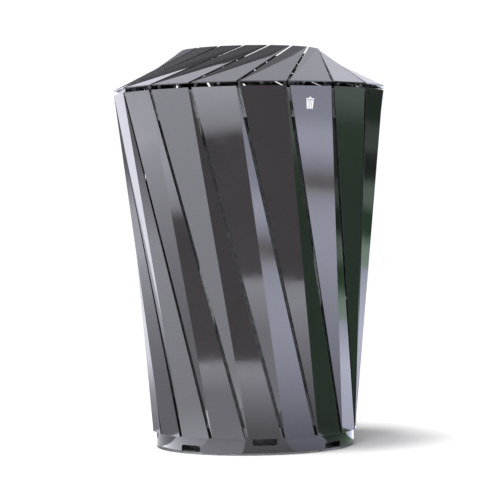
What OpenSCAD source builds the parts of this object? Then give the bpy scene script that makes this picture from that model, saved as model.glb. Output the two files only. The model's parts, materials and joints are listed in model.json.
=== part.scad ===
// Litter bin: a ring of tall folded steel slats, twisted round a frame, under a hinged
// slatted hood with an open throat. A removable liner stands inside.
// Azimuths run from the front (-Y) towards +X, and every height is above the ground.

/* [Slats] */
// Number of slats in the body, and again in the hood
slat_count = 18; // [14:2:22]
// Whole slat pitches that a body slat leans over from top to bottom
body_lean = 2; // [1:1:3]
// Whole slat pitches that a hood slat leans over from eave to throat
hood_lean = 2; // [1:1:3]
// Thickness of the slat sheet
sheet_t = 3; // [2:0.5:4]
// Open gap between neighbouring slats
slat_gap = 9; // [6:0.5:12]
// Height of a body slat
body_slat_h = 850; // [700:5:1050]
// Corner radius of the ring of slats at the eave
eave_r = 345; // [320:1:415]
// Corner radius of the ring of slats at the foot
foot_r = 260; // [256:1:264]
// Corner radius of the throat that litter is dropped through
throat_r = 180; // [150:1:190]
// Rise of the hood from eave to throat
hood_h = 98; // [85:1:120]
// Open gap between the body slats and the hood slats
eave_gap = 12; // [11:0.5:16]

/* [Base] */
// Radius of the base plate that stands on the ground
plate_r = 244; // [243:0.5:245.5]
// Thickness of the base plate
plate_t = 5; // [4:0.5:8]
// Bolt circle of the ground anchors
anchor_pcd = 380; // [340:5:400]
// Radius of an anchor hole
anchor_hole_r = 7; // [5:0.5:9]
// Radius of a drain hole
drain_hole_r = 5; // [3:0.5:8]
// Radius of the circle of drain holes
drain_circle_r = 90; // [60:1:120]
// Outer radius of the base ring
base_ring_r = 250; // [249:0.5:251]
// Wall of the base ring
base_ring_t = 4; // [3:0.5:4.5]
// Height that the base ring shows below the slats
base_reveal = 35; // [30:1:50]
// Length of base ring hidden behind the slats
base_overlap = 26; // [24:1:40]
// Width of a slot or notch in the base ring
slot_w = 60; // [40:1:66]
// Height that a slot shows below the slats, and height of a notch
slot_h = 16; // [10:1:16]
// Corner radius of the slots and notches
slot_corner_r = 6; // [3:0.5:7]

/* [Frame] */
// Width of an upright flat bar
upright_w = 30; // [20:1:36]
// Thickness of an upright flat bar
upright_t = 6; // [4:0.5:8]
// Height of an upright's lower bend above the ground
upright_bend_z = 200; // [150:5:260]
// Wall of the upper hoop
hoop_t = 5; // [4:0.5:6]
// Height of the upper hoop
hoop_h = 70; // [60:1:80]
// Drop of the upper hoop's top below the slat tops
hoop_drop = 4; // [4:0.5:8]
// Width of the upper hoop's top flange, wall included
hoop_flange_w = 21; // [19:0.5:22]
// Clear space between the upper hoop and the slats behind their fixings
hoop_standoff = 6; // [5:0.5:9]

/* [Slat fixings] */
// Radius of a weld stud
stud_r = 4; // [3:0.5:4]
// Height of a body slat's lower stud above the slat's foot
foot_stud_rise = 16; // [14:0.5:18]
// Drop of a body slat's upper stud below the top of the hoop
head_stud_drop = 20; // [16:0.5:24]
// Thickness of a stud nut
nut_h = 6; // [4:0.5:7]
// Width of a stud nut across its flats
nut_af = 13; // [11:0.5:14]
// Thread length that stands out of a nut
stud_end = 3; // [2:0.5:5]

/* [Hood frame] */
// Thickness of the hood's two flat rings
hood_ring_t = 5; // [4:0.5:6]
// Width of the eave ring
eave_ring_w = 31; // [24:0.5:32]
// Distance of the eave ring's studs inside the flats of the eave
eave_stud_in = 39.5; // [38:0.5:44]
// Height of the eave ring above the hood slats' lower edges
eave_ring_lift = 1; // [0.5:0.5:2]
// Width of the throat ring
throat_ring_w = 28; // [22:0.5:30]
// Share of the hood's slope at which the throat ring's studs stand
throat_stud_share = 0.56; // [0.5:0.01:0.6]
// Clear height between the throat ring and the slats at its studs
throat_standoff = 12; // [11:0.5:16]
// Radius of a rest buffer between the hoop and the hood
buffer_r = 4; // [3:0.5:5]

/* [Hinge] */
// Outer radius of the hinge knuckles
knuckle_r = 6; // [5.5:0.5:6]
// Radius of the hinge pin
pin_r = 3.5; // [2.5:0.5:3.5]
// Length of the hinge along its pin
hinge_w = 90; // [70:1:94]
// Length of the hood's middle knuckle
mid_knuckle_w = 31; // [24:1:36]
// Thickness of the hinge leaves
leaf_t = 3; // [2:0.5:3]

/* [Lock] */
// Angle from the eave corner right of the front to the lock, which follows the slat gap
lock_turn = 1.75; // [1.5:0.05:2]
// Drop of the lock's axis below the slat tops
lock_drop = 52; // [50:0.5:54]
// Distance from the lock's axis to either of its screws
lock_screw_pitch = 12.5; // [12.5:0.5:15]
// Radius of the lock's spindle
spindle_r = 4; // [3.5:0.25:4.5]
// Outer radius of the lock's bush
bush_r = 7; // [6.5:0.25:7.5]
// Length of the cam from the spindle's axis
cam_len = 40; // [37:0.5:41]
// Width of the cam
cam_w = 14; // [12:0.5:14]
// Thickness of the cam
cam_t = 4; // [3:0.5:4.5]
// Distance of the keeper beside the lock's axis, to its middle
keeper_offset = 26; // [25:0.5:28]
// Thickness of the keeper plate
keeper_t = 4; // [3:0.5:5]

/* [Liner] */
// Outer radius of the liner's bottom
liner_foot_r = 212; // [190:1:218]
// Outer radius of the liner's wall at its rim
liner_top_r = 266; // [240:1:270]
// Height of the liner
liner_h = 815; // [680:5:830]
// Wall of the liner
liner_t = 2; // [1.5:0.5:3]
// Radius of the liner's rolled rim
rim_r = 5; // [4:0.5:6]
// Radius of the round bar of a carrying handle
handle_r = 4; // [3:0.5:5]
// Length of a handle between the middles of its arms
handle_w = 110; // [90:1:130]
// Drop of a handle's grip below its pivot
handle_drop = 60; // [45:1:80]

/* [Hidden] */
$fn = 96;
pitch = 360 / slat_count;
first_azimuth = pitch / 2;
body_lean_a = body_lean * pitch;
hood_lean_a = hood_lean * pitch;
// Running and seating clearances
hole_play = 0.5;
run_play = 0.05;
seat_play = 0.1;
nut_play = 0.2;
body_play = 0.3;
edge_play = 1;
// Levels
foot_z = plate_t + base_reveal;
body_top_z = foot_z + body_slat_h;
hood_z = body_top_z + eave_gap;
throat_z = hood_z + hood_h;
// Flats of the slat rings, and the slopes of their faces, which the gap's cut alters
eave_flat_r = eave_r * cos(pitch / 2);
foot_flat_r = foot_r * cos(pitch / 2);
body_cut = slat_gap / 2 * sin(body_lean_a);
hood_cut = slat_gap / 2 * sin(hood_lean_a);
head_far_r = foot_r * cos(body_lean_a - pitch / 2) - body_cut;
foot_far_r = eave_r * cos(body_lean_a - pitch / 2) - body_cut;
hood_far_r = throat_r * cos(hood_lean_a + pitch / 2) + hood_cut;
head_slope = atan((eave_flat_r - head_far_r) / body_slat_h);
foot_slope = atan((foot_far_r - foot_flat_r) / body_slat_h);
hood_slope = atan(hood_h / (eave_flat_r - hood_far_r));
// Base
base_ring_in_r = base_ring_r - base_ring_t;
base_ring_top_z = foot_z + base_overlap;
slot_hidden = 4;
foot_stud_z = foot_z + foot_stud_rise;
anchor_count = 4;
drain_count = 6;
quarter = 90;
// Frame
hoop_top_z = body_top_z - hoop_drop;
hoop_low_z = hoop_top_z - hoop_h;
// The hoop stands off the slats at its middle, and its lower edge stays clear of them
hoop_r = min(
    face_r_head(hoop_low_z + hoop_h / 2) - hoop_standoff, face_r_head(hoop_low_z) - edge_play);
hoop_in_r = hoop_r - hoop_t;
head_stud_z = hoop_top_z - head_stud_drop;
flange_in_r = hoop_r - hoop_flange_w;
upright_azimuths = [for (side = [1, -1], a = [30, 70, 150]) side * half_pitch_near(a)];
// A flat bar's outer face lies inside a round wall by the rise of its width's arc
upright_foot_r = flat_in_round(base_ring_in_r, upright_w) - seat_play;
upright_head_r = flat_in_round(hoop_in_r, upright_w) - seat_play;
// Hood
eave_stud_r = eave_flat_r - eave_stud_in;
// The ring's outer edge stays clear of the slats above it
eave_ring_z = min(
    hood_z + eave_ring_lift,
    under_z(eave_stud_r + eave_ring_w / 2) - hood_ring_t - edge_play);
throat_stud = throat_stud_point(throat_stud_share);
throat_stud_r = norm([throat_stud.x, throat_stud.y]);
throat_stud_a = atan2(throat_stud.x, -throat_stud.y);
// The same stud, turned to the middle of its slat's eave
throat_stud_turn = throat_stud_a - pitch / 2;
throat_ring_top_z = under_z(throat_stud_r * cos(throat_stud_turn)) - throat_standoff;
throat_ring_z = throat_ring_top_z - hood_ring_t;
hood_nut_h = 5;
hood_stud_r = 3;
hood_nut_af = 10;
// Buffers stand on the hoop's flange under the corners of the eave
buffer_at_r = flange_in_r + 8;
// Hinge
hinge_y = eave_flat_r + 3 + knuckle_r;
hinge_z = body_top_z + eave_gap / 2;
knuckle_play = 0.5;
leaf_swing = 1;
body_leaf_z = body_top_z + max(0.5, sheet_t * sin(head_slope) + run_play);
hood_leaf_z = hood_z - sheet_t - 0.5 - leaf_t;
leaf_step_y = eave_flat_r - sheet_t - 6;
hinge_screw_x = 30;
// Small screws of the hinge, the lock and the keeper
screw_r = 2.5;
screw_head_r = 3.5;
screw_head_h = 3;
small_nut_h = 4;
small_nut_af = 8;
body_leaf_screw_y = flange_in_r + 8;
// Lock
lock_z = body_top_z - lock_drop;
lock_azimuth = first_azimuth + lock_turn;
lock_plate_w = 36;
lock_plate_h = 44;
lock_plate_t = 3;
lock_plate_y = flat_in_round(hoop_in_r, lock_plate_w) - seat_play;
bush_flange_t = 1.5;
bush_flange_r = 8;
bush_reach = 14;
bush_in_y = lock_plate_y - lock_plate_t - bush_reach;
cam_y = bush_in_y - body_play - cam_t;
cam_end_y = cam_y - 3;
keeper_low_rise = 20;
keeper_bar_h = 11;
keeper_rib = 7.5;
keeper_window_play = 2.5;
keeper_window_top = 44;
keeper_out_y = cam_y + cam_t + keeper_window_play + keeper_rib;
keeper_in_y = cam_y - keeper_window_play - keeper_rib;
keeper_foot_w = 26;
keeper_swing = 6;
// Liner
liner_z = plate_t;
pivot_z = liner_z + liner_h - 30;
pivot_x = liner_in_r(pivot_z) - 20;
ear_t = 4;
ear_r = 9;
ear_y = handle_w / 2 + handle_r + ear_t / 2 + 0.5;

// A point at radius r, azimuth a and height z
function at(r, a, z) = [r * sin(a), -r * cos(a), z];
function between(p, q, share) = p + (q - p) * share;
function unit(v) = v / norm(v);
// Distance from the axis of a flat of width w that just fits inside a round wall
function flat_in_round(r, w) = sqrt(pow(r, 2) - pow(w / 2, 2));
// The azimuth between two slat fixings that is nearest to a
function half_pitch_near(a) = (round(a / pitch - 0.5) + 0.5) * pitch;
// Distance from the axis of a body slat's inner face at its fixings
function face_r_head(z) =
    eave_flat_r - (body_top_z - z) * tan(head_slope) - sheet_t / cos(head_slope);
function face_r_foot(z) =
    foot_flat_r + (z - foot_z) * tan(foot_slope) - sheet_t / cos(foot_slope);
// Height of a hood slat's underside at distance y from the axis, square to its eave
function under_z(y) =
    hood_z + (eave_flat_r - y) * tan(hood_slope) - sheet_t / cos(hood_slope);
// Middle of a hood slat's broad face at a share of its rise
function throat_stud_point(share) =
    let (
        left = at(eave_r, 0, hood_z),
        right = at(eave_r, pitch, hood_z),
        top = at(throat_r, hood_lean_a + pitch, throat_z))
    between(between(left, top, share), between(right, top, share), 0.5);
// Inner radius of the liner's wall at height z
function liner_in_r(z) =
    liner_foot_r + (liner_top_r - liner_foot_r) * (z - liner_z) / liner_h - liner_t;

// A sheet with one fold from its lower left corner to its upper right corner, seen from
// outside. The thickness goes inwards, and the fold is mitred.
module folded_sheet(low_left, low_right, top_right, top_left) {
    low_n = unit(cross(low_right - low_left, top_right - low_left));
    top_n = unit(cross(top_right - low_left, top_left - low_left));
    fold_n = (low_n + top_n) / (1 + low_n * top_n);
    polyhedron(
        points = [
            low_left, low_right, top_right, top_left,
            low_left - sheet_t * fold_n, low_right - sheet_t * low_n,
            top_right - sheet_t * fold_n, top_left - sheet_t * top_n],
        faces = [
            [0, 2, 1], [0, 3, 2], [4, 5, 6], [4, 6, 7],
            [0, 1, 5], [0, 5, 4], [1, 2, 6], [1, 6, 5],
            [2, 3, 7], [2, 7, 6], [3, 0, 4], [3, 4, 7]]);
}

// A slat from a lower chord to an upper chord, each cut back by half the gap at both ends
module slat(low_r, low_a, low_z, top_r, top_a, top_z) {
    low = [at(low_r, low_a, low_z), at(low_r, low_a + pitch, low_z)];
    top = [at(top_r, top_a, top_z), at(top_r, top_a + pitch, top_z)];
    low_cut = slat_gap / 2 * unit(low[1] - low[0]);
    top_cut = slat_gap / 2 * unit(top[1] - top[0]);
    folded_sheet(low[0] + low_cut, low[1] - low_cut, top[1] - top_cut, top[0] + top_cut);
}

module body_slat(i) {
    azimuth = first_azimuth + (i - 1) * pitch;
    color("#3d3a3e")
        slat(foot_r, azimuth + body_lean_a, foot_z, eave_r, azimuth, body_top_z);
}

module hood_slat(i) {
    azimuth = first_azimuth + (i - 1) * pitch;
    color("#4a484c")
        slat(eave_r, azimuth, hood_z, throat_r, azimuth + hood_lean_a, throat_z);
}

// Copies of what lies at the front, one at every pitch
module at_each_pitch(start = 0) {
    for (i = [0 : slat_count - 1])
        rotate([0, 0, start + i * pitch])
            children();
}

module nut(across, h, bore_r) {
    difference() {
        cylinder(r = across / 2 / cos(30), h = h, $fn = 6);
        translate([0, 0, -1])
            cylinder(r = bore_r, h = h + 2);
    }
}

// A screw along +Z: its head below z = 0, its shank up through the work, its nut at nut_z
module small_screw(nut_z) {
    translate([0, 0, -screw_head_h])
        cylinder(r = screw_head_r, h = screw_head_h);
    cylinder(r = screw_r, h = nut_z + small_nut_h + 1);
}

module small_screw_set(nut_z) {
    small_screw(nut_z);
    translate([0, 0, nut_z])
        nut(small_nut_af, small_nut_h, screw_r + seat_play);
}

// A hollow ring
module ring(out_r, in_r, z, h) {
    translate([0, 0, z])
        difference() {
            cylinder(r = out_r, h = h, $fn = 180);
            translate([0, 0, -1])
                cylinder(r = in_r, h = h + 2, $fn = 180);
        }
}

module base_plate() {
    color("#55575a")
        difference() {
            cylinder(r = plate_r, h = plate_t, $fn = 180);
            for (i = [0 : anchor_count - 1])
                rotate([0, 0, (i + 0.5) * 360 / anchor_count])
                    translate([anchor_pcd / 2, 0, -1])
                        cylinder(r = anchor_hole_r, h = plate_t + 2);
            for (i = [0 : drain_count - 1])
                rotate([0, 0, i * 360 / drain_count])
                    translate([drain_circle_r, 0, -1])
                        cylinder(r = drain_hole_r, h = plate_t + 2);
        }
}

// A cutter for the base ring's front: a slot with all corners round
module slot_cutter(z, h) {
    translate([0, -base_ring_in_r + 10, z])
        rotate([90, 0, 0])
            linear_extrude(base_ring_t + 20)
                translate([-slot_w / 2, 0])
                    round_rectangle(slot_w, h, slot_corner_r);
}

// A rectangle from the origin with round corners
module round_rectangle(w, h, r) {
    translate([r, 0])
        square([w - 2 * r, h]);
    translate([0, r])
        square([w, h - 2 * r]);
    for (x = [r, w - r], y = [r, h - r])
        translate([x, y])
            circle(r = r, $fn = 32);
}

module base_ring() {
    notch_below = 20;
    color("#3d3a3e")
        difference() {
            ring(base_ring_r, base_ring_in_r, plate_t, base_ring_top_z - plate_t);
            for (i = [0 : 3])
                rotate([0, 0, i * quarter])
                    slot_cutter(foot_z - slot_h, slot_h + slot_hidden);
            for (i = [0 : 3])
                rotate([0, 0, (i + 0.5) * quarter])
                    slot_cutter(plate_t - notch_below, slot_h + notch_below);
            at_each_pitch()
                translate([0, -base_ring_in_r + 10, foot_stud_z])
                    rotate([90, 0, 0])
                        cylinder(r = stud_r + hole_play, h = 30);
        }
}

// Bent flat bars that stand on the base plate inside the base ring and the upper hoop
module uprights() {
    foot = upright_foot_r;
    head = upright_head_r;
    color("#8f9295")
        for (a = upright_azimuths)
            rotate([0, 0, a])
                rotate([0, 0, -quarter])
                    translate([0, upright_w / 2, 0])
                        rotate([quarter, 0, 0])
                            linear_extrude(upright_w)
                                polygon([
                                    [foot, plate_t], [foot, upright_bend_z],
                                    [head, hoop_low_z], [head, hoop_top_z - hoop_t],
                                    [head - upright_t, hoop_top_z - hoop_t],
                                    [head - upright_t, hoop_low_z],
                                    [foot - upright_t, upright_bend_z],
                                    [foot - upright_t, plate_t]]);
}

module upper_hoop() {
    color("#8f9295")
        difference() {
            union() {
                ring(hoop_r, hoop_in_r, hoop_low_z, hoop_h);
                ring(hoop_r, flange_in_r, hoop_top_z - hoop_t, hoop_t);
            }
            at_each_pitch()
                translate([0, -hoop_in_r + 10, head_stud_z])
                    rotate([90, 0, 0])
                        cylinder(r = stud_r + hole_play, h = 30);
            lock_place() {
                lock_screw_holes(30);
                cylinder(r = bush_r, h = hoop_r * 2);
            }
            // Way up for the keeper when the hood opens
            rotate([0, 0, lock_azimuth])
                translate([
                    keeper_offset - keeper_t / 2 - keeper_swing,
                    -keeper_out_y - keeper_swing, hoop_top_z - hoop_t - 1])
                    cube([keeper_t + 2 * keeper_swing, 2 * hoop_flange_w, hoop_t + 2]);
            for (x = [-hinge_screw_x, hinge_screw_x])
                translate([x, body_leaf_screw_y, hoop_top_z - hoop_t - 1])
                    cylinder(r = screw_r + hole_play, h = hoop_t + 2);
        }
}

// A radial stud from inside the ring to the sloping inner face of a slat, with its nut
module radial_stud(face_r, slope, in_r, z) {
    end_r = in_r - nut_play - nut_h - stud_end;
    translate([0, 0, z]) {
        difference() {
            translate([0, -end_r, 0])
                rotate([90, 0, 0])
                    cylinder(r = stud_r, h = face_r - end_r + stud_r);
            translate([0, -face_r, 0])
                rotate([slope, 0, 0])
                    translate([-10, -20, -20])
                        cube([20, 20, 40]);
        }
        translate([0, -in_r + nut_play + nut_h, 0])
            rotate([90, 0, 0])
                nut(nut_af, nut_h, stud_r + seat_play);
    }
}

module body_slat_fixings() {
    color("#b9bbbd")
        at_each_pitch() {
            radial_stud(face_r_head(head_stud_z), head_slope, hoop_in_r, head_stud_z);
            radial_stud(face_r_foot(foot_stud_z), foot_slope, base_ring_in_r, foot_stud_z);
        }
}

module lid_buffers() {
    color("#77797b")
        at_each_pitch(first_azimuth)
            translate([0, -buffer_at_r, hoop_top_z])
                cylinder(r = buffer_r, h = eave_ring_z - hoop_top_z - body_play);
}

// A stretch of hinge knuckle along X
module knuckle(from_x, to_x) {
    translate([from_x, hinge_y, hinge_z])
        rotate([0, quarter, 0])
            cylinder(r = knuckle_r, h = to_x - from_x);
}

// A leaf's joggled side profile: from the knuckle over the slat edge, then inside
module leaf_profile(out_z, in_z, in_y, reach_y) {
    translate([-hinge_w / 2, 0, 0])
        rotate([quarter, 0, quarter])
            linear_extrude(hinge_w)
                polygon([
                    [reach_y, out_z], [reach_y, out_z + leaf_t],
                    [leaf_step_y, out_z + leaf_t], [leaf_step_y - leaf_t, in_z + leaf_t],
                    [in_y, in_z + leaf_t], [in_y, in_z],
                    [leaf_step_y - leaf_t, in_z], [leaf_step_y, out_z]]);
}

// Room for a knuckle of the other leaf
module knuckle_room(from_x, to_x) {
    translate([
        from_x - knuckle_play, hinge_y - knuckle_r - leaf_swing,
        hinge_z - knuckle_r - leaf_swing])
        cube([to_x - from_x + 2 * knuckle_play, 30, 2 * (knuckle_r + leaf_swing)]);
}

module pin_bore(play) {
    translate([-hinge_w, hinge_y, hinge_z])
        rotate([0, quarter, 0])
            cylinder(r = pin_r + play, h = 2 * hinge_w);
}

module hinge_body_leaf() {
    half = hinge_w / 2;
    mid = mid_knuckle_w / 2;
    color("#3d3a3e")
        difference() {
            union() {
                leaf_profile(body_leaf_z, hoop_top_z, flange_in_r + 1, hinge_y);
                knuckle(-half, half);
            }
            knuckle_room(-mid, mid);
            pin_bore(0.02);
            for (x = [-hinge_screw_x, hinge_screw_x])
                translate([x, body_leaf_screw_y, hoop_top_z - 1])
                    cylinder(r = screw_r + hole_play, h = leaf_t + 2);
        }
}

module hinge_pin() {
    pin_head = 1.5;
    color("#c9cbcd")
        translate([-hinge_w / 2, hinge_y, hinge_z])
            rotate([0, quarter, 0]) {
                cylinder(r = pin_r, h = hinge_w);
                translate([0, 0, -pin_head])
                    cylinder(r = knuckle_r - 1, h = pin_head);
                translate([0, 0, hinge_w])
                    cylinder(r = knuckle_r - 1, h = pin_head);
            }
}

module hinge_hood_leaf() {
    half = hinge_w / 2;
    mid = mid_knuckle_w / 2;
    color("#3d3a3e")
        difference() {
            union() {
                leaf_profile(
                    hood_leaf_z, eave_ring_z - leaf_t,
                    eave_stud_r - eave_ring_w / 2 + 2, hinge_y);
                knuckle(-mid, mid);
            }
            knuckle_room(-half - 5, -mid - knuckle_play);
            knuckle_room(mid + knuckle_play, half + 5);
            pin_bore(run_play);
            translate([0, eave_stud_r, eave_ring_z - leaf_t - 2])
                cylinder(r = hood_nut_af / 2 + 4, h = leaf_t + 3);
            for (x = [-hinge_screw_x, hinge_screw_x])
                translate([x, eave_stud_r, eave_ring_z - leaf_t - 2])
                    cylinder(r = screw_r + hole_play, h = leaf_t + 3);
        }
}

// Puts what lies along +Z on the lock's axis, pointing outwards from the bin's axis
module lock_place(out_by = 0) {
    rotate([0, 0, lock_azimuth])
        translate([0, -out_by, lock_z])
            rotate([quarter, 0, 0])
                children();
}

module lock_screw_holes(h) {
    for (y = [-lock_screw_pitch, lock_screw_pitch])
        translate([0, y, lock_plate_y - h / 2])
            cylinder(r = screw_r + hole_play, h = h);
}

module lock_plate() {
    color("#8f9295")
        difference() {
            lock_place(lock_plate_y - lock_plate_t)
                translate([-lock_plate_w / 2, -lock_plate_h / 2, 0])
                    linear_extrude(lock_plate_t)
                        round_rectangle(lock_plate_w, lock_plate_h, 4);
            lock_place() {
                cylinder(r = bush_r, h = hoop_r * 2);
                lock_screw_holes(30);
            }
        }
}

module lock_bush() {
    color("#c9cbcd")
        difference() {
            union() {
                lock_place(bush_in_y)
                    cylinder(r = bush_r - seat_play, h = hoop_r - bush_in_y + 0.5);
                lock_place(hoop_r + 0.2)
                    cylinder(r = bush_flange_r, h = bush_flange_t);
            }
            lock_place()
                cylinder(r = spindle_r + run_play, h = hoop_r * 2);
        }
}

// The spindle turns in the bush, and a three-sided key drives its outer end
module lock_spindle() {
    key_h = 3;
    key_root = 1;
    color("#c9cbcd") {
        lock_place(cam_end_y)
            cylinder(r = spindle_r, h = hoop_r - cam_end_y);
        lock_place(hoop_r - key_root)
            cylinder(r = spindle_r - 0.3, h = key_root + key_h, $fn = 3);
    }
}

// At rest the cam points up, clear of the keeper
module lock_cam() {
    color("#b9bbbd")
        lock_place(cam_y)
            difference() {
                union() {
                    cylinder(r = cam_w / 2, h = cam_t);
                    translate([-cam_w / 2, 0, 0])
                        cube([cam_w, cam_len, cam_t]);
                }
                translate([0, 0, -1])
                    cylinder(r = spindle_r + 0.02, h = cam_t + 2);
            }
}

// Screws that hold the lock plate to the hoop and the body leaf to the hoop's flange
module frame_screws() {
    color("#b9bbbd") {
        for (y = [-lock_screw_pitch, lock_screw_pitch])
            lock_place()
                translate([0, y, hoop_r + seat_play])
                    mirror([0, 0, 1])
                        small_screw_set(hoop_r - lock_plate_y + lock_plate_t + 2 * seat_play);
        for (x = [-hinge_screw_x, hinge_screw_x])
            translate([x, body_leaf_screw_y, hoop_top_z + leaf_t])
                mirror([0, 0, 1])
                    small_screw_set(leaf_t + hoop_t);
    }
}

module hood_eave_ring() {
    color("#8f9295")
        difference() {
            ring(
                eave_stud_r + eave_ring_w / 2, eave_stud_r - eave_ring_w / 2,
                eave_ring_z, hood_ring_t);
            at_each_pitch()
                translate([0, -eave_stud_r, eave_ring_z - 1])
                    cylinder(r = hood_stud_r + hole_play, h = hood_ring_t + 2);
            for (x = [-hinge_screw_x, hinge_screw_x])
                translate([x, eave_stud_r, eave_ring_z - 1])
                    cylinder(r = screw_r + hole_play, h = hood_ring_t + 2);
            keeper_screw_places()
                translate([0, 0, -10])
                    cylinder(r = screw_r + hole_play, h = 30);
        }
}

module hood_throat_ring() {
    color("#8f9295")
        difference() {
            ring(
                throat_stud_r + throat_ring_w / 2, throat_stud_r - throat_ring_w / 2,
                throat_ring_z, hood_ring_t);
            at_each_pitch(first_azimuth + throat_stud_a)
                translate([0, -throat_stud_r, throat_ring_z - 1])
                    cylinder(r = hood_stud_r + hole_play, h = hood_ring_t + 2);
        }
}

// A vertical stud from below a ring up to a hood slat's sloping underside, at local
// place [x, y] seen square to the slat's eave, with its nut
module hood_stud(x, y, ring_z) {
    low_z = ring_z - seat_play - hood_nut_h - stud_end;
    translate([x, -y, 0]) {
        difference() {
            translate([0, 0, low_z])
                cylinder(r = hood_stud_r, h = under_z(y) - low_z + hood_stud_r);
            translate([0, 0, under_z(y)])
                rotate([hood_slope, 0, 0])
                    translate([-10, -20, 0])
                        cube([20, 40, 20]);
        }
        translate([0, 0, ring_z - seat_play - hood_nut_h])
            nut(hood_nut_af, hood_nut_h, hood_stud_r + seat_play);
    }
}

module hood_slat_fixings() {
    x = throat_stud_r * sin(throat_stud_turn);
    y = throat_stud_r * cos(throat_stud_turn);
    color("#b9bbbd")
        at_each_pitch() {
            hood_stud(0, eave_stud_r, eave_ring_z);
            hood_stud(x, y, throat_ring_z);
        }
}

// Places of the keeper's two screws on the underside of the eave ring
module keeper_screw_places() {
    screw_y = eave_stud_r;
    rotate([0, 0, lock_azimuth])
        for (x = [-9, -19])
            translate([keeper_offset + x, -screw_y, eave_ring_z])
                children();
}

// A plate that hangs from the eave ring, with a window for the cam
module lock_keeper() {
    low_z = lock_z - keeper_low_rise;
    window_z = low_z + keeper_bar_h;
    window_top_z = lock_z + keeper_window_top;
    foot_t = 3;
    color("#8f9295")
        difference() {
            rotate([0, 0, lock_azimuth]) {
                difference() {
                    translate([keeper_offset - keeper_t / 2, -keeper_out_y, low_z])
                        cube([keeper_t, keeper_out_y - keeper_in_y, eave_ring_z - low_z]);
                    translate([
                        keeper_offset - keeper_t, -keeper_out_y + keeper_rib, window_z])
                        cube([
                            2 * keeper_t, keeper_out_y - keeper_in_y - 2 * keeper_rib,
                            window_top_z - window_z]);
                }
                translate([
                    keeper_offset - keeper_foot_w, -keeper_out_y, eave_ring_z - foot_t])
                    cube([keeper_foot_w, keeper_out_y - keeper_in_y, foot_t]);
            }
            keeper_screw_places()
                translate([0, 0, -10])
                    cylinder(r = screw_r + hole_play, h = 30);
        }
}

// Screws that hold the hood leaf and the keeper to the eave ring
module hood_screws() {
    work_h = leaf_t + hood_ring_t;
    color("#b9bbbd") {
        for (x = [-hinge_screw_x, hinge_screw_x])
            translate([x, eave_stud_r, eave_ring_z - leaf_t])
                small_screw_set(work_h);
        keeper_screw_places()
            translate([0, 0, -3])
                small_screw_set(3 + hood_ring_t);
    }
}

// The liner is one spun bucket with a rolled rim
module liner() {
    rim_z = liner_z + liner_h;
    color("#b4b6b5")
        rotate_extrude($fn = 180) {
            polygon([
                [0, liner_z], [liner_foot_r, liner_z], [liner_top_r, rim_z],
                [liner_top_r - liner_t, rim_z], [liner_foot_r - liner_t, liner_z + liner_t],
                [0, liner_z + liner_t]]);
            translate([liner_top_r + rim_r - liner_t, rim_z])
                circle(r = rim_r, $fn = 32);
        }
}

// What lies outside the liner's inner face, to trim the ears to the wall
module outside_liner() {
    difference() {
        translate([0, 0, liner_z])
            cylinder(r = liner_top_r * 2, h = liner_h);
        translate([0, 0, liner_z + liner_t])
            cylinder(
                r1 = liner_foot_r - liner_t, r2 = liner_top_r - liner_t,
                h = liner_h - liner_t, $fn = 180);
    }
}

// Ears on the liner's inner wall that carry the handles' turned ends
module handle_ears() {
    color("#b4b6b5")
        for (side = [1, -1], end = [1, -1])
            difference() {
                translate([0, end * ear_y, 0])
                    ear_plate(side);
                outside_liner();
            }
}

module ear_plate(side) {
    translate([side * pivot_x, ear_t / 2, pivot_z])
        rotate([quarter, 0, 0])
            difference() {
                union() {
                    cylinder(r = ear_r, h = ear_t);
                    translate([side > 0 ? 0 : -40, -ear_r, 0])
                        cube([40, 2 * ear_r, ear_t]);
                }
                translate([0, 0, -1])
                    cylinder(r = handle_r + run_play, h = ear_t + 2);
            }
}

// A drop handle of round bar: a grip, two arms, and ends turned out through the ears
module liner_handle(side) {
    half = handle_w / 2;
    end_y = ear_y + ear_t / 2 + 3;
    color("#c9cbcd")
        translate([side * pivot_x, 0, pivot_z]) {
            translate([0, half, -handle_drop])
                rotate([quarter, 0, 0])
                    cylinder(r = handle_r, h = handle_w);
            for (end = [1, -1]) {
                translate([0, end * half, -handle_drop])
                    sphere(r = handle_r);
                translate([0, end * half, -handle_drop])
                    cylinder(r = handle_r, h = handle_drop);
                translate([0, end * half, 0])
                    sphere(r = handle_r);
                translate([0, end > 0 ? half : -end_y, 0])
                    rotate([-quarter, 0, 0])
                        cylinder(r = handle_r, h = end_y - half);
            }
        }
}

base_plate();
base_ring();
uprights();
upper_hoop();
for (i = [1 : slat_count])
    body_slat(i);
body_slat_fixings();
lid_buffers();
hinge_body_leaf();
hinge_pin();
frame_screws();
lock_plate();
lock_bush();
lock_spindle();
lock_cam();
liner();
handle_ears();
liner_handle(-1);  // liner_handle_left
liner_handle(1);  // liner_handle_right
hood_eave_ring();
hood_throat_ring();
for (i = [1 : slat_count])
    hood_slat(i);
hood_slat_fixings();
hinge_hood_leaf();
hood_screws();
lock_keeper();
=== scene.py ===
"""Litter bin of twisted steel slats: finishes, edge rounding, weld beads, sign, studio and camera.

Laid out as a Blender add-on and run as a script. Lengths are in metres unless a name or a comment
says millimetres, in the part's own frame: the origin is on the bin's axis at the ground, +Z is up
and -Y is the front. Azimuths are in degrees from the front towards +X, the right.
"""

import json
import math

import bmesh
import bpy
from bpy.props import FloatProperty, FloatVectorProperty
from mathutils import Matrix, Vector


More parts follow.
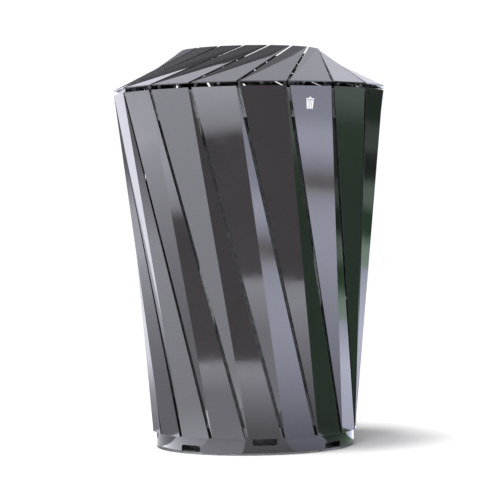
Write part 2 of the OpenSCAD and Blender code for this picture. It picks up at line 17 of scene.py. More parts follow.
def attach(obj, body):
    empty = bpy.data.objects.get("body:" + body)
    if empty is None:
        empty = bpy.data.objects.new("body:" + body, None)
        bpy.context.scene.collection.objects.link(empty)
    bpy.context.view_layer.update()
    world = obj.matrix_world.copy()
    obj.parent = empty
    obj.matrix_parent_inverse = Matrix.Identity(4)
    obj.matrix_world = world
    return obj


bl_info = {
    "name": "Twisted Slat Litter Bin",
    "version": (1, 0, 0),
    "blender": (4, 5, 0),
    "location": "View3D > Sidebar > Litter Bin",
    "description": "Finishes a slatted litter bin and sets it in a small studio",
    "category": "Object",
}

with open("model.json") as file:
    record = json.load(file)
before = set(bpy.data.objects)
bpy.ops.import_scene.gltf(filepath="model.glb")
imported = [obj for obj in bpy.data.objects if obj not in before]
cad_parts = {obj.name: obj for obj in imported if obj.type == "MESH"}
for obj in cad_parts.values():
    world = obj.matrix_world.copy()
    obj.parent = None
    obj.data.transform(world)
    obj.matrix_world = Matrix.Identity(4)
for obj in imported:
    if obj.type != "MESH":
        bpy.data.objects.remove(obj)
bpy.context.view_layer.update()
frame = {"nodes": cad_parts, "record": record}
NODES = frame["nodes"]
SLOT_OF = {s["node"]: s["material_slot"] for s in frame["record"]["subparts"]}
MM = 0.001


# ---------------------------------------------------------------- small helpers


def linear(hex_colour):
    """An sRGB hex colour as linear red, green, blue and a full alpha."""
    parts = [int(hex_colour[i:i + 2], 16) / 255 for i in (1, 3, 5)]
    return tuple(c / 12.92 if c <= 0.04045 else ((c + 0.055) / 1.055) ** 2.4 for c in parts) + (1.0,)


def waves(length_mm):
    """The texture scale at which one feature is this many millimetres long."""
    return 1000.0 / length_mm


def add_node(tree, kind, settings=None, values=None, links=None, stops=()):
    """Adds a node with its settings, its sockets' values and links, and its colour ramp's stops."""
    node = tree.nodes.new(kind)
    for name, value in (settings or {}).items():
        setattr(node, name, value)
    for name, value in (values or {}).items():
        node.inputs[name].default_value = value
    for name, source in (links or {}).items():
        tree.links.new(source, node.inputs[name])
    for i, (position, colour) in enumerate(stops):
        node.color_ramp.elements[i].position = position
        node.color_ramp.elements[i].color = colour
    return node


NOISE = "ShaderNodeTexNoise"
RANGE = "ShaderNodeMapRange"
RAMP = "ShaderNodeValToRGB"
BUMP = "ShaderNodeBump"
# A noise's values lie mostly between these two
PATTERN_LOW = 0.3
PATTERN_HIGH = 0.7


def new_material(name):
    """An empty node material, its tree, its shader and the coordinates that stay with the part."""
    material = bpy.data.materials.new(name)
    material.use_nodes = True
    tree = material.node_tree
    tree.nodes.clear()
    shader = add_node(tree, "ShaderNodeBsdfPrincipled")
    add_node(tree, "ShaderNodeOutputMaterial", links={"Surface": shader.outputs["BSDF"]})
    place = add_node(tree, "ShaderNodeTexCoord").outputs["Object"]
    return material, tree, shader, place


def patterned(name, tone, haze=None, relief=(), stretch=None, values=None):
    """A material whose colour, roughness and relief follow noise patterns.

    A pattern is the length of a feature in millimetres and its detail. tone is a pattern with its
    low and high colours, and haze is one with its low and high roughness. relief lists patterns
    with a depth in millimetres, each laid over the last. stretch scales the coordinates, and
    values are set on the shader as they are.
    """
    material, tree, shader, place = new_material(name)
    for socket, value in (values or {}).items():
        shader.inputs[socket].default_value = value
    if stretch:
        mapping = add_node(
            tree, "ShaderNodeMapping", values={"Scale": stretch}, links={"Vector": place})
        place = mapping.outputs["Vector"]
    patterns = {}
    for pattern in dict.fromkeys(row[0] for row in (tone, haze, *relief) if row):
        length_mm, detail = pattern
        patterns[pattern] = add_node(
            tree, NOISE, values={"Scale": waves(length_mm), "Detail": detail},
            links={"Vector": place}).outputs["Fac"]
    pattern, dark, light = tone
    colour = add_node(
        tree, RAMP, links={"Fac": patterns[pattern]},
        stops=((PATTERN_LOW, dark), (PATTERN_HIGH, light)))
    tree.links.new(colour.outputs["Color"], shader.inputs["Base Color"])
    if haze:
        pattern, smooth, rough = haze
        spread = add_node(
            tree, RANGE, values={
                "From Min": PATTERN_LOW, "From Max": PATTERN_HIGH,
                "To Min": smooth, "To Max": rough},
            links={"Value": patterns[pattern]})
        tree.links.new(spread.outputs["Result"], shader.inputs["Roughness"])
    links = {}
    for pattern, depth_mm in relief:
        links["Height"] = patterns[pattern]
        bump = add_node(tree, BUMP, values={"Distance": depth_mm * MM}, links=links)
        links["Normal"] = bump.outputs["Normal"]
    if relief:
        tree.links.new(links["Normal"], shader.inputs["Normal"])
    return material


# ---------------------------------------------------------------- materials


def gloss_powder_coat():
    """Anthracite polyester powder, sprayed on steel sheet and baked to a high gloss."""
    # Baked powder flows to a gloss but keeps a faint orange peel, and the sheet below is
    # never quite flat, so reflections are sharp with slightly wandering edges.
    colours = bpy.context.scene.bin_colours
    sheet_waves = ((190, 0.0), 0.55)
    # Orange peel is about 2 mm across, drawn at 5 mm so that it shows
    orange_peel = ((5, 1.0), 0.006)
    return patterned(
        "gloss_powder_coat",
        tone=((160, 3.0), colours.paint_dark, colours.paint_light),
        haze=((45, 4.0), 0.045, 0.085),
        relief=(sheet_waves, orange_peel),
        values={"IOR": 1.5})


def galvanised_steel():
    """Mild steel dipped in molten zinc, weathered to a dull spangle."""
    # Zinc freezes in flat crystals that each catch the light at another angle. Outdoors they
    # grow a dull grey skin of zinc salts, so the surface is only half metallic to the eye.
    material, tree, shader, place = new_material("galvanised_steel")
    crystals = add_node(
        tree, "ShaderNodeTexVoronoi", values={"Scale": waves(11)}, links={"Vector": place})
    grey = add_node(tree, "ShaderNodeSeparateColor", links={"Color": crystals.outputs["Color"]})
    tone = add_node(
        tree, RAMP, links={"Fac": grey.outputs["Red"]},
        stops=((PATTERN_LOW, linear("#8c9093")), (PATTERN_HIGH, linear("#a3a7aa"))))
    tree.links.new(tone.outputs["Color"], shader.inputs["Base Color"])
    haze = add_node(
        tree, RANGE, values={
            "From Min": PATTERN_LOW, "From Max": PATTERN_HIGH, "To Min": 0.38, "To Max": 0.55},
        links={"Value": grey.outputs["Green"]})
    tree.links.new(haze.outputs["Result"], shader.inputs["Roughness"])
    grain = add_node(
        tree, NOISE, values={"Scale": waves(3), "Detail": 3.0}, links={"Vector": place})
    relief = add_node(
        tree, BUMP, values={"Distance": 0.03 * MM}, links={"Height": grain.outputs["Fac"]})
    tree.links.new(relief.outputs["Normal"], shader.inputs["Normal"])
    shader.inputs["Metallic"].default_value = 0.5
    return material


def zinc_plated_steel():
    """Cold-headed steel fasteners, bright zinc plated and passivated."""
    # A thin clear chromate gives a bright metal with a trace of blue and straw yellow.
    return patterned(
        "zinc_plated_steel",
        tone=((9, 2.0), linear("#c4c7cb"), linear("#d0cec5")),
        haze=((4, 2.0), 0.2, 0.34),
        values={"Metallic": 1.0})


def stainless_steel():
    """Turned stainless bar, satin brushed along its length."""
    # Brushing leaves fine parallel lines that soften the highlight across them.
    brushing = (1.2, 2.0)
    return patterned(
        "stainless_steel",
        tone=(brushing, linear("#b9b8b4"), linear("#c9c8c4")),
        haze=(brushing, 0.22, 0.36),
        relief=((brushing, 0.01),),
        stretch=(0.1, 1.0, 1.0),
        values={"Metallic": 1.0})


def buffer_rubber():
    """Grey EPDM rubber, compression moulded."""
    # Moulded rubber is matt, with a fine spark-eroded texture from its tool.
    return patterned(
        "buffer_rubber",
        tone=((6, 3.0), linear("#5f6263"), linear("#6f7273")),
        relief=(((0.8, 2.0), 0.05),),
        values={"Roughness": 0.75})


def mig_weld_steel():
    """MIG weld beads under the zinc."""
    # A bead's ripples hold thicker zinc, which dulls darker than the bars beside it.
    return patterned(
        "mig_weld_steel",
        tone=((4, 3.0), linear("#7c8083"), linear("#9a9ea1")),
        relief=(((2, 2.0), 0.2),),
        values={"Roughness": 0.5, "Metallic": 0.5})


def cast_vinyl_film():
    """White cast vinyl film, cut to shape and stuck on."""
    # Cast film is smooth and a little less glossy than the paint below it.
    colours = bpy.context.scene.bin_colours
    return patterned(
        "cast_vinyl_film",
        tone=((12, 2.0), colours.sign_dark, colours.sign_light),
        values={"Roughness": 0.32})


def floor_paint():
    """Matt white studio floor paint, rolled on."""
    # Rolled paint dries matt, with broad patches that are a shade apart.
    return patterned(
        "floor_paint",
        tone=((400, 2.0), linear("#f1f1f1"), linear("#f4f4f4")),
        values={"Roughness": 0.9})


def glowing(name, values=None, attribute=None):
    """A material that only gives light, of one colour or of the colours on its mesh's corners."""
    material = bpy.data.materials.new(name)
    material.use_nodes = True
    tree = material.node_tree
    tree.nodes.clear()
    links = {}
    if attribute:
        stored = add_node(tree, "ShaderNodeAttribute", {"attribute_name": attribute})
        links["Color"] = stored.outputs["Color"]
    light = add_node(tree, "ShaderNodeEmission", values=values, links=links)
    add_node(tree, "ShaderNodeOutputMaterial", links={"Surface": light.outputs["Emission"]})
    return material


MAKERS = {
    "gloss_powder_coat": gloss_powder_coat,
    "galvanised_steel": galvanised_steel,
    "zinc_plated_steel": zinc_plated_steel,
    "stainless_steel": stainless_steel,
    "buffer_rubber": buffer_rubber,
}


def material_of(name):
    """The scene's one material of this name, made when it is first asked for."""
    ready = bpy.data.materials.get(name)
    if ready is not None and ready.get("bin_finish"):
        return ready
    if ready is not None:
        ready.name = name + "_plain"
    made = MAKERS[name]()
    made.name = name
    made["bin_finish"] = True
    return made


# ---------------------------------------------------------------- finishing the CAD nodes


# An edge sharper than the first angle was cut or sheared, and one sharper than the second is a fold
CUT_ANGLE = math.radians(60)
FOLD_ANGLE = math.radians(30)
CUT_STEPS = 4
FOLD_STEPS = 5
JOIN_MM = 0.01


def finish_node(name, edge_mm, fold_mm=0.0):
    """Gives a node its slot's material and rounds its cut edges and its fold."""
    piece = NODES[name]
    made = material_of(SLOT_OF[name])
    if not piece.material_slots:
        piece.data.materials.append(made)
    for material_slot in piece.material_slots:
        material_slot.material = made
    weld = piece.modifiers.new("join_faces", "WELD")
    weld.merge_threshold = JOIN_MM * MM
    cut = piece.modifiers.new("cut_edges", "BEVEL")
    cut.width = edge_mm * MM
    cut.segments = CUT_STEPS
    cut.limit_method = "ANGLE"
    cut.angle_limit = CUT_ANGLE
    if fold_mm:
        fold = piece.modifiers.new("press_fold", "BEVEL")
        fold.width = fold_mm * MM
        fold.segments = FOLD_STEPS
        fold.limit_method = "ANGLE"
        fold.angle_limit = FOLD_ANGLE
    flat = piece.modifiers.new("flat_faces", "WEIGHTED_NORMAL")
    flat.weight = 100
    for face in piece.data.polygons:
        face.use_smooth = True


def finish_group(names, edge_mm, fold_mm=0.0):
    """Finishes several nodes alike."""
    for name in names:
        finish_node(name, edge_mm, fold_mm)


class BinSizes(bpy.types.PropertyGroup):
    """Sizes that the looks add to the part."""

    edge: FloatProperty(
        name="Cut edge", description="Rounding of a cut sheet edge, in millimetres",
        default=0.6, min=0.1, max=1.2)
    fold: FloatProperty(
        name="Fold", description="Setback of a pressed fold's rounding, in millimetres",
        default=2.2, min=0.5, max=4.0)
    bar_edge: FloatProperty(
        name="Bar edge", description="Rounding of the frame's bars and rings, in millimetres",
        default=0.5, min=0.1, max=1.0)
    small_edge: FloatProperty(
        name="Small edge", description="Rounding of the small metal parts, in millimetres",
        default=0.3, min=0.1, max=0.6)
    bead: FloatProperty(
        name="Weld bead", description="Radius of a weld bead", default=0.0025, unit="LENGTH")
    sign_drop: FloatProperty(
        name="Sign drop", description="Drop of the sign's middle below the slat's top",
        default=0.042, unit="LENGTH")
    ripple: FloatProperty(
        name="Weld ripple", description="Distance between weld ripples", default=0.003,
        unit="LENGTH")


class BinColours(bpy.types.PropertyGroup):
    """The darker and the lighter tone of the paint and of the sign."""

    paint_dark: FloatVectorProperty(
        name="Paint, dark", description="Darker tone of the powder coat", size=4, min=0.0, max=1.0,
        subtype="COLOR", default=linear("#1d1b1e"))
    paint_light: FloatVectorProperty(
        name="Paint, light", description="Lighter tone of the powder coat", size=4, min=0.0,
        max=1.0, subtype="COLOR", default=linear("#232124"))
    sign_dark: FloatVectorProperty(
        name="Sign, dark", description="Darker tone of the sign's film", size=4, min=0.0, max=1.0,
        subtype="COLOR", default=linear("#e4e5e6"))
    sign_light: FloatVectorProperty(
        name="Sign, light", description="Lighter tone of the sign's film", size=4, min=0.0,
        max=1.0, subtype="COLOR", default=linear("#ececed"))


class BinStudio(bpy.types.PropertyGroup):
    """The camera and the lights."""

    lens: FloatProperty(name="Lens", description="Focal length, in millimetres", default=146.13)
    distance: FloatProperty(
        name="Distance", description="Camera's distance from the bin's axis", default=5.1587,
        unit="LENGTH")
    height: FloatProperty(
        name="Height", description="Camera's height above the floor", default=0.5792,
        unit="LENGTH")
    azimuth: FloatProperty(
        name="Azimuth", description="Camera's direction round the bin", default=-0.0950,
        subtype="ANGLE")
    tilt: FloatProperty(
        name="Tilt", description="Camera's tilt above level", default=-0.01644, subtype="ANGLE")
    roll: FloatProperty(
        name="Roll", description="Camera's roll about its line of sight", default=-0.01573,
        subtype="ANGLE")
    turn: FloatProperty(
        name="Turn", description="Camera's turn away from the bin's axis", default=-0.00111,
        subtype="ANGLE")
    key: FloatProperty(
        name="Key strength", description="Strength of the key lamp", default=2.7)
    fill: FloatProperty(
        name="Fill power", description="Power of the soft box over the camera, in watts",
        default=130.0)
    key_spread: FloatProperty(
        name="Key spread", description="Apparent size of the key lamp", default=0.30,
        subtype="ANGLE")
    key_tilt: FloatProperty(
        name="Key tilt", description="Key lamp's tilt away from overhead", default=0.21,
        subtype="ANGLE")
    key_azimuth: FloatProperty(
        name="Key azimuth", description="Key lamp's direction round the bin", default=-1.0,
        subtype="ANGLE")


class BIN_OT_slats(bpy.types.Operator):
    """Paint the slats and round their edges and folds"""

    bl_idname = "bin.slats"
    bl_label = "Slats"

    def execute(self, context):
        sizes = context.scene.bin_sizes
        slats = [n for n in sorted(NODES) if "_slat_" in n and not n.endswith("fixings")]
        finish_group(slats, sizes.edge, sizes.fold)
        return {"FINISHED"}


class BIN_OT_base(bpy.types.Operator):
    """Finish the base ring and the base plate"""

    bl_idname = "bin.base"
    bl_label = "Base"

    def execute(self, context):
        finish_group(("base_ring", "base_plate"), context.scene.bin_sizes.bar_edge)
        return {"FINISHED"}


class BIN_OT_frame(bpy.types.Operator):
    """Finish the uprights, the hoop and the hood's rings"""

    bl_idname = "bin.frame"
    bl_label = "Frame"

    def execute(self, context):
        finish_group(
            ("uprights", "upper_hoop", "hood_eave_ring", "hood_throat_ring"),
            context.scene.bin_sizes.bar_edge)
        return {"FINISHED"}


class BIN_OT_fixings(bpy.types.Operator):
    """Finish the studs, nuts, screws and buffers"""

    bl_idname = "bin.fixings"
    bl_label = "Fixings"

    def execute(self, context):
        finish_group(
            ("body_slat_fixings", "hood_slat_fixings", "frame_screws", "hood_screws",
             "lid_buffers"), context.scene.bin_sizes.small_edge)
        return {"FINISHED"}


class BIN_OT_hinge(bpy.types.Operator):
    """Finish the hinge"""

    bl_idname = "bin.hinge"
    bl_label = "Hinge"

    def execute(self, context):
        finish_group(
            ("hinge_body_leaf", "hinge_hood_leaf", "hinge_pin"),
            context.scene.bin_sizes.small_edge)
        return {"FINISHED"}


class BIN_OT_lock(bpy.types.Operator):
    """Finish the lock and its keeper"""

    bl_idname = "bin.lock"
    bl_label = "Lock"

    def execute(self, context):
        finish_group(
            ("lock_plate", "lock_bush", "lock_spindle", "lock_cam", "lock_keeper"),
            context.scene.bin_sizes.small_edge)
        return {"FINISHED"}


class BIN_OT_liner(bpy.types.Operator):
    """Finish the liner, its ears and its handles"""

    bl_idname = "bin.liner"
    bl_label = "Liner"

    def execute(self, context):
        finish_group(
            ("liner", "handle_ears", "liner_handle_left", "liner_handle_right"),
            context.scene.bin_sizes.small_edge)
        return {"FINISHED"}


# ---------------------------------------------------------------- added pieces


def link_piece(name, mesh, material):
    """Links a new piece that rides the bin's body, with its material."""
    mesh.materials.append(material)
    piece = bpy.data.objects.new(name, mesh)
    bpy.context.scene.collection.objects.link(piece)
    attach(piece, "body")
    return piece


def on_ring(radius, azimuth, height):
    """A point on a circle round the bin's axis, at an azimuth in degrees."""
    a = math.radians(azimuth)
    return Vector((radius * math.sin(a), -radius * math.cos(a), height))


# Outlines of the litter sign in millimetres, centred, up being +Y: lid, knob, and bin ribs
SIGN = (
    ((-11, 9), (11, 9), (11, 11.5), (-11, 11.5)),
    ((-3.5, 12.5), (3.5, 12.5), (2.6, 15), (-2.6, 15)),
    ((-9.6, 7.5), (-6.2, 7.5), (-5.0, -14), (-7.8, -14)),
    ((-4.6, 7.5), (-1.2, 7.5), (-0.9, -14), (-3.6, -14)),
    ((1.2, 7.5), (4.6, 7.5), (3.6, -14), (0.9, -14)),
    ((6.2, 7.5), (9.6, 7.5), (7.8, -14), (5.0, -14)),
)
# The film's thickness, its distance from the paint and its corners' rounding, in millimetres
FILM_T = 0.12
FILM_GAP = 0.02
FILM_CORNER = 0.6
# A slat's large faces are over this many square metres, and those that look outwards have a
# normal that is turned at least this far the way they lie from the axis
LARGE_FACE = 0.01
OUTWARD = 0.1


class BIN_OT_sign(bpy.types.Operator):
    """Stick a plain litter sign on the slat right of the front"""

    bl_idname = "bin.sign"
    bl_label = "Litter Sign"

    def execute(self, context):
        sizes = context.scene.bin_sizes
        slat = NODES["body_slat_1"]
        # The broad upper face is the highest of the two large faces that look outwards
        faces = [
            f for f in slat.data.polygons
            if f.area > LARGE_FACE and f.normal.dot(Vector((*f.center.xy, 0))) > OUTWARD]
        broad = max(faces, key=lambda f: f.center.z)
        corners = [slat.matrix_world @ slat.data.vertices[i].co for i in broad.vertices]
        left, right = sorted(sorted(corners, key=lambda c: c.z)[-2:], key=lambda c: c.x)
        face = (slat.matrix_world.to_3x3() @ broad.normal).normalized()
        along = (right - left).normalized()
        up = face.cross(along).normalized()
        middle = (left + right) / 2 - up * sizes.sign_drop + face * FILM_GAP * MM
        mesh = bpy.data.meshes.new("litter_sign")
        work = bmesh.new()
        for outline in SIGN:
            ring = [
                work.verts.new(middle + along * x * MM + up * y * MM) for x, y in outline]
            work.faces.new(ring)
        work.faces.ensure_lookup_table()
        bmesh.ops.bevel(
            work, geom=list(work.verts), offset=FILM_CORNER * MM, segments=3,
            affect="VERTICES")
        made = bmesh.ops.extrude_face_region(work, geom=list(work.faces))
        lifted = [g for g in made["geom"] if isinstance(g, bmesh.types.BMVert)]
        bmesh.ops.translate(work, verts=lifted, vec=face * FILM_T * MM)
        bmesh.ops.recalc_face_normals(work, faces=work.faces)
        work.to_mesh(mesh)
        work.free()
        link_piece("litter_sign", mesh, cast_vinyl_film())
        return {"FINISHED"}


# A weld bead runs up both sides of each upright where it lies in the hoop
BEAD_LOW = 0.818
BEAD_HIGH = 0.879
BEAD_SPINE_R = 0.3200
HOOP_IN_R = 0.3203
# Half an upright's width and 0.5 mm more
BEAD_ASIDE = 0.0155
UPRIGHT_AZIMUTHS = (-150, -70, -30, 30, 70, 150)
BEAD_SIDES = 10
RINGS_PER_RIPPLE = 6
RIPPLE_DEPTH = 0.1
# A bead tapers over a quarter of its length at each end, to this share of its radius
TAPER_PART = 4
TIP_SHARE = 0.15


def weld_bead(work, spine, radius, ripple):
    """Adds one standing bead with rippled sides and rounded ends to the mesh being worked on."""
    count = int((BEAD_HIGH - BEAD_LOW) / ripple * RINGS_PER_RIPPLE)
    last = None
    for i in range(count + 1):
        z = BEAD_LOW + (BEAD_HIGH - BEAD_LOW) * i / count
        wave = math.cos(math.tau * i / RINGS_PER_RIPPLE)
        end = min(1.0, TAPER_PART * i / count, TAPER_PART * (count - i) / count)
        r = radius * (1 - RIPPLE_DEPTH + RIPPLE_DEPTH * wave) * max(TIP_SHARE, end ** 0.5)
        ring = []
        for k in range(BEAD_SIDES):
            t = math.tau * k / BEAD_SIDES
            offset = Vector((r * math.cos(t), r * math.sin(t), 0))
            ring.append(work.verts.new(Vector((spine.x, spine.y, z)) + offset))
        if last:
            for k in range(BEAD_SIDES):
                j = (k + 1) % BEAD_SIDES
                work.faces.new((last[k], last[j], ring[j], ring[k]))
        else:
            work.faces.new(list(reversed(ring)))
        last = ring
    work.faces.new(last)


class BIN_OT_weld_beads(bpy.types.Operator):
    """Lay weld beads where the uprights meet the upper hoop"""

    bl_idname = "bin.weld_beads"
    bl_label = "Weld Beads"

    def execute(self, context):
        sizes = context.scene.bin_sizes
        work = bmesh.new()
        turn = math.degrees(math.asin(BEAD_ASIDE / HOOP_IN_R))
        for azimuth in UPRIGHT_AZIMUTHS:
            for side in (-1, 1):
                spine = on_ring(BEAD_SPINE_R, azimuth + turn * side, BEAD_LOW)
                weld_bead(work, spine, sizes.bead, sizes.ripple)
        for face in work.faces:
            face.smooth = True
        mesh = bpy.data.meshes.new("weld_beads")
        work.to_mesh(mesh)
        work.free()
        link_piece("weld_beads", mesh, mig_weld_steel())
        return {"FINISHED"}


# ---------------------------------------------------------------- the studio


# The floor's half width and its drop below the bin's foot, so that the two never share a plane
FLOOR_HALF_W = 14.0
FLOOR_DROP_MM = 0.5
PAPER_R = 13.0
PAPER_TOP = 14.0
PAPER_FOOT = -0.5
PAPER_STEPS = 48
PAPER_STRENGTH = 1.05
WORLD_STRENGTH = 0.4
SOFT_BOX_PLACE = (-1.2, -4.0, 2.4)
SOFT_BOX_AIM = (0.0, 0.0, 0.6)
SOFT_BOX_W = 2.0
SOFT_BOX_H = 1.4
# The camera's sensor in millimetres, and the end of its view in metres
SENSOR_W = 36.0
VIEW_END = 60.0


def studio_floor():
    """A plain pale floor, out past the paper's foot."""
    mesh = bpy.data.meshes.new("studio_floor")
    corners = ((-1, -1), (1, -1), (1, 1), (-1, 1))
    mesh.from_pydata(
        [(FLOOR_HALF_W * x, FLOOR_HALF_W * y, 0) for x, y in corners], [], [(0, 1, 2, 3)])
    mesh.materials.append(floor_paint())
    floor = bpy.data.objects.new("studio_floor", mesh)
    floor.location.z = -FLOOR_DROP_MM * MM
    bpy.context.scene.collection.objects.link(floor)


def key_light(studio):
    """A broad lamp high on the left, which throws a short soft shadow to the right."""
    data = bpy.data.lights.new("key_light", "SUN")
    data.energy = studio.key
    data.angle = studio.key_spread
    light = bpy.data.objects.new("key_light", data)
    bpy.context.scene.collection.objects.link(light)
    light.rotation_euler = (studio.key_tilt, 0.0, studio.key_azimuth)
    light.visible_glossy = False


def fill_light(studio):
    """A large soft box over the camera, which lifts the sign and the metal inside."""
    data = bpy.data.lights.new("fill_light", "AREA")
    data.shape = "RECTANGLE"
    data.size = SOFT_BOX_W
    data.size_y = SOFT_BOX_H
    data.energy = studio.fill
    light = bpy.data.objects.new("fill_light", data)
    bpy.context.scene.collection.objects.link(light)
    light.location = SOFT_BOX_PLACE
    towards = Vector(SOFT_BOX_AIM) - light.location
    light.rotation_mode = "QUATERNION"
    light.rotation_quaternion = towards.to_track_quat("-Z", "Y")
    light.visible_glossy = False


def seamless_paper():
    """A roll of lit white paper all round the set, behind the bin from wherever it is seen."""
    points = []
    for i in range(PAPER_STEPS):
        for height in (PAPER_FOOT, PAPER_TOP):
            points.append(tuple(on_ring(PAPER_R, 360 * i / PAPER_STEPS, height)))
    faces = [
        (2 * i, 2 * i + 1, (2 * i + 3) % len(points), (2 * i + 2) % len(points))
        for i in range(PAPER_STEPS)]
    mesh = bpy.data.meshes.new("seamless_paper")
    mesh.from_pydata(points, [], faces)
    white = {"Color": linear("#ffffff"), "Strength": PAPER_STRENGTH}
    mesh.materials.append(glowing("seamless_paper", values=white))
    paper = bpy.data.objects.new("seamless_paper", mesh)
    bpy.context.scene.collection.objects.link(paper)
    paper.visible_diffuse = False
    paper.visible_glossy = False
    paper.visible_shadow = False


# A card is bent to its arc in steps of this many degrees, and in no fewer than this many steps
CARD_STEP = 5
CARD_FEWEST = 16


def sector(name, start, end, profile, receivers, material):
    """A card round part of the bin, which lights nothing and shows only in the receivers.

    Its profile runs from the bin outwards, then up: radius, height, colour and strength.
    """
    steps = max(CARD_FEWEST, int((end - start) / CARD_STEP))
    points = []
    glow = []
    for i in range(steps + 1):
        azimuth = start + (end - start) * i / steps
        for radius, height, colour, strength in profile:
            points.append(tuple(on_ring(radius, azimuth, height)))
            glow.append([c * strength for c in linear(colour)[:3]] + [1.0])
    n = len(profile)
    faces = [
        (i * n + j, i * n + j + 1, (i + 1) * n + j + 1, (i + 1) * n + j)
        for i in range(steps) for j in range(n - 1)]
    mesh = bpy.data.meshes.new(name)
    mesh.from_pydata(points, [], faces)
    stored = mesh.color_attributes.new("glow", "FLOAT_COLOR", "POINT")
    for item, value in zip(stored.data, glow):
        item.color = value
    mesh.materials.append(material)
    piece = bpy.data.objects.new(name, mesh)
    bpy.context.scene.collection.objects.link(piece)
    piece.visible_camera = False
    piece.visible_diffuse = False
    piece.visible_shadow = False
    piece.visible_transmission = False
    if receivers:
        piece.light_linking.receiver_collection = receivers


COOL = "#f2f3ff"
LAVENDER = "#e4e8ff"
WARM = "#f4e8ec"
GREEN = "#9dffa6"
PALE_GREEN = "#dfffe7"
# The tent of cards, sector by sector: start and end azimuth, then the profile from the bin's
# foot outwards, just above the floor, and up the standing card. It stands for an open square:
# pale paving, a dark front, sky on the left, and planting with light between it on the right
TENT = {
    "front": (-14, 22, [
        (0.28, 0.001, COOL, 1.4), (0.55, 0.001, COOL, 1.7), (0.90, 0.001, COOL, 3.2),
        (1.40, 0.001, COOL, 5.6), (1.62, 0.001, COOL, 5.2), (1.64, 0.0, WARM, 0.85),
        (1.64, 1.6, WARM, 0.75)]),
    "front_left": (-50, -14, [
        (0.28, 0.001, COOL, 4.2), (0.60, 0.001, COOL, 3.6), (1.1, 0.001, COOL, 3.5),
        (1.68, 0.001, COOL, 6.2), (1.70, 0.0, WARM, 1.0), (1.70, 0.45, WARM, 0.85),
        (1.70, 0.49, COOL, 5.2), (1.70, 0.62, COOL, 7.8), (1.70, 1.5, COOL, 9.0)]),
    "left": (-88, -50, [
        (0.28, 0.001, COOL, 6.5), (0.50, 0.001, COOL, 5.5), (0.90, 0.001, COOL, 4.2),
        (3.0, 0.001, COOL, 4.9), (6.9, 0.001, COOL, 5.8), (7.0, 0.0, COOL, 5.0),
        (7.0, 0.25, COOL, 3.5), (7.0, 0.5, COOL, 2.2), (7.0, 3.0, COOL, 2.0)]),
    "left_back": (-127, -88, [
        (0.28, 0.001, COOL, 1.4), (1.5, 0.001, COOL, 1.5), (3.5, 0.001, COOL, 2.3),
        (6.9, 0.001, COOL, 4.0), (7.0, 0.0, COOL, 4.5), (7.0, 0.3, COOL, 4.3),
        (7.0, 0.55, COOL, 1.2), (7.0, 3.0, COOL, 0.9)]),
    "back_left": (-180, -127, [
        (0.28, 0.001, COOL, 0.5), (1.4, 0.001, COOL, 0.9), (2.6, 0.001, COOL, 2.1),
        (4.5, 0.0, COOL, 2.5), (4.5, 2.4, COOL, 2.2)]),
    "front_right": (22, 60, [
        (0.28, 0.001, LAVENDER, 2.2), (0.60, 0.001, LAVENDER, 3.0),
        (1.0, 0.001, LAVENDER, 4.6), (1.6, 0.001, LAVENDER, 6.2), (1.6, 0.1, LAVENDER, 7.4),
        (1.6, 0.215, LAVENDER, 7.8), (1.6, 0.29, LAVENDER, 7.2), (1.6, 0.325, COOL, 5.0),
        (1.6, 0.35, WARM, 2.0), (1.6, 0.375, WARM, 2.5), (1.6, 0.40, LAVENDER, 4.8),
        (1.6, 0.456, LAVENDER, 7.8), (1.6, 0.505, LAVENDER, 8.2), (1.6, 0.57, LAVENDER, 5.8),
        (1.6, 1.6, LAVENDER, 4.0)]),
    "right": (60, 98, [
        (0.28, 0.001, PALE_GREEN, 0.6), (0.55, 0.001, GREEN, 0.25), (1.2, 0.0, GREEN, 0.35),
        (1.2, 0.42, GREEN, 0.32), (1.2, 0.66, GREEN, 0.4), (1.2, 0.74, PALE_GREEN, 1.2),
        (1.2, 0.85, PALE_GREEN, 1.4), (1.2, 1.5, GREEN, 0.5)]),
    "right_back": (98, 137, [
        (0.28, 0.001, LAVENDER, 2.6), (2.0, 0.001, LAVENDER, 3.4), (3.6, 0.001, LAVENDER, 2.2),
        (3.8, 0.0, PALE_GREEN, 1.3), (3.8, 0.08, PALE_GREEN, 1.2), (3.8, 0.14, GREEN, 0.2),
        (3.8, 0.22, GREEN, 0.18), (3.8, 0.27, PALE_GREEN, 0.6), (3.8, 0.34, PALE_GREEN, 0.6),
        (3.8, 0.38, GREEN, 0.05), (3.8, 0.46, GREEN, 0.03), (3.8, 0.50, PALE_GREEN, 0.28),
        (3.8, 0.58, PALE_GREEN, 0.26), (3.8, 0.62, GREEN, 0.08), (3.8, 0.70, GREEN, 0.08),
        (3.8, 0.78, PALE_GREEN, 0.12), (3.8, 2.2, GREEN, 0.1)]),
    "back_right": (137, 180, [
        (0.28, 0.001, COOL, 0.5), (3.7, 0.001, COOL, 1.4), (3.8, 0.0, COOL, 1.4),
        (3.8, 2.2, COOL, 1.2)]),
    "roof": (-180, 180, [
        (8.0, 0.0, COOL, 1.4), (8.0, 4.0, COOL, 1.6), (5.0, 6.5, COOL, 1.5),
        (0.1, 7.5, COOL, 1.3)]),
}


def tent():
    """Cards on the floor and standing round the bin, seen only in its paint, and a roof for all."""
    receivers = bpy.data.collections.new("tent_receivers")
    for name, slot in SLOT_OF.items():
        if slot == "gloss_powder_coat":
            receivers.objects.link(NODES[name])
    material = glowing("studio_card", attribute="glow")
    for name, (start, end, profile) in TENT.items():
        seen_in = None if name == "roof" else receivers
        sector("tent_" + name, start, end, profile, seen_in, material)


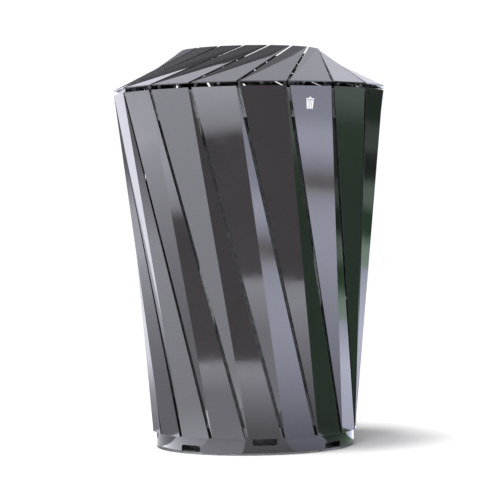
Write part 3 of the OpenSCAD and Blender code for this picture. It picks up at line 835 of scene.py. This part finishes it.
class BIN_OT_stage(bpy.types.Operator):
    """Build the floor, the light and the camera"""

    bl_idname = "bin.stage"
    bl_label = "Stage"

    def execute(self, context):
        scene = context.scene
        studio_floor()
        world = bpy.data.worlds.new("studio_white")
        world.use_nodes = True
        sky = world.node_tree.nodes["Background"]
        sky.inputs["Color"].default_value = linear("#ffffff")
        sky.inputs["Strength"].default_value = WORLD_STRENGTH
        scene.world = world
        scene.view_settings.view_transform = "Standard"
        seamless_paper()
        key_light(scene.bin_studio)
        fill_light(scene.bin_studio)
        tent()
        self.place_camera(scene)
        return {"FINISHED"}

    def place_camera(self, scene):
        """A long lens a little left of square to the bin's front."""
        studio = scene.bin_studio
        data = bpy.data.cameras.new("camera")
        data.sensor_width = SENSOR_W
        data.lens = studio.lens
        data.clip_end = VIEW_END
        camera = bpy.data.objects.new("camera", data)
        scene.collection.objects.link(camera)
        a = studio.azimuth
        out = Vector((math.sin(a), -math.cos(a), 0))
        camera.location = out * studio.distance + Vector((0, 0, studio.height))
        level = Matrix.Rotation(-studio.turn, 3, "Z") @ (-out)
        sight = level * math.cos(studio.tilt) + Vector((0, 0, math.sin(studio.tilt)))
        camera.rotation_mode = "QUATERNION"
        turn = sight.to_track_quat("-Z", "Y")
        camera.rotation_quaternion = turn @ Matrix.Rotation(studio.roll, 3, "Z").to_quaternion()
        scene.camera = camera


OPERATORS = (
    BIN_OT_slats, BIN_OT_base, BIN_OT_frame, BIN_OT_fixings, BIN_OT_hinge, BIN_OT_lock,
    BIN_OT_liner, BIN_OT_sign, BIN_OT_weld_beads, BIN_OT_stage)


class BIN_PT_panel(bpy.types.Panel):
    """The bin's steps in the sidebar"""

    bl_idname = "BIN_PT_panel"
    bl_label = "Litter Bin"
    bl_space_type = "VIEW_3D"
    bl_region_type = "UI"
    bl_category = "Litter Bin"

    def draw(self, context):
        scene = context.scene
        for group in (scene.bin_sizes, scene.bin_colours, scene.bin_studio):
            for prop in type(group).__annotations__:
                self.layout.prop(group, prop)
        for operator in OPERATORS:
            self.layout.operator(operator.bl_idname)


CLASSES = (BinSizes, BinColours, BinStudio, *OPERATORS, BIN_PT_panel)


def register():
    for cls in CLASSES:
        bpy.utils.register_class(cls)
    bpy.types.Scene.bin_sizes = bpy.props.PointerProperty(type=BinSizes)
    bpy.types.Scene.bin_colours = bpy.props.PointerProperty(type=BinColours)
    bpy.types.Scene.bin_studio = bpy.props.PointerProperty(type=BinStudio)


def unregister():
    del bpy.types.Scene.bin_sizes
    del bpy.types.Scene.bin_colours
    del bpy.types.Scene.bin_studio
    for cls in reversed(CLASSES):
        bpy.utils.unregister_class(cls)


def main():
    register()
    for operator in OPERATORS:
        getattr(bpy.ops.bin, operator.bl_idname.split(".")[1])()


if __name__ == "__main__":
    main()
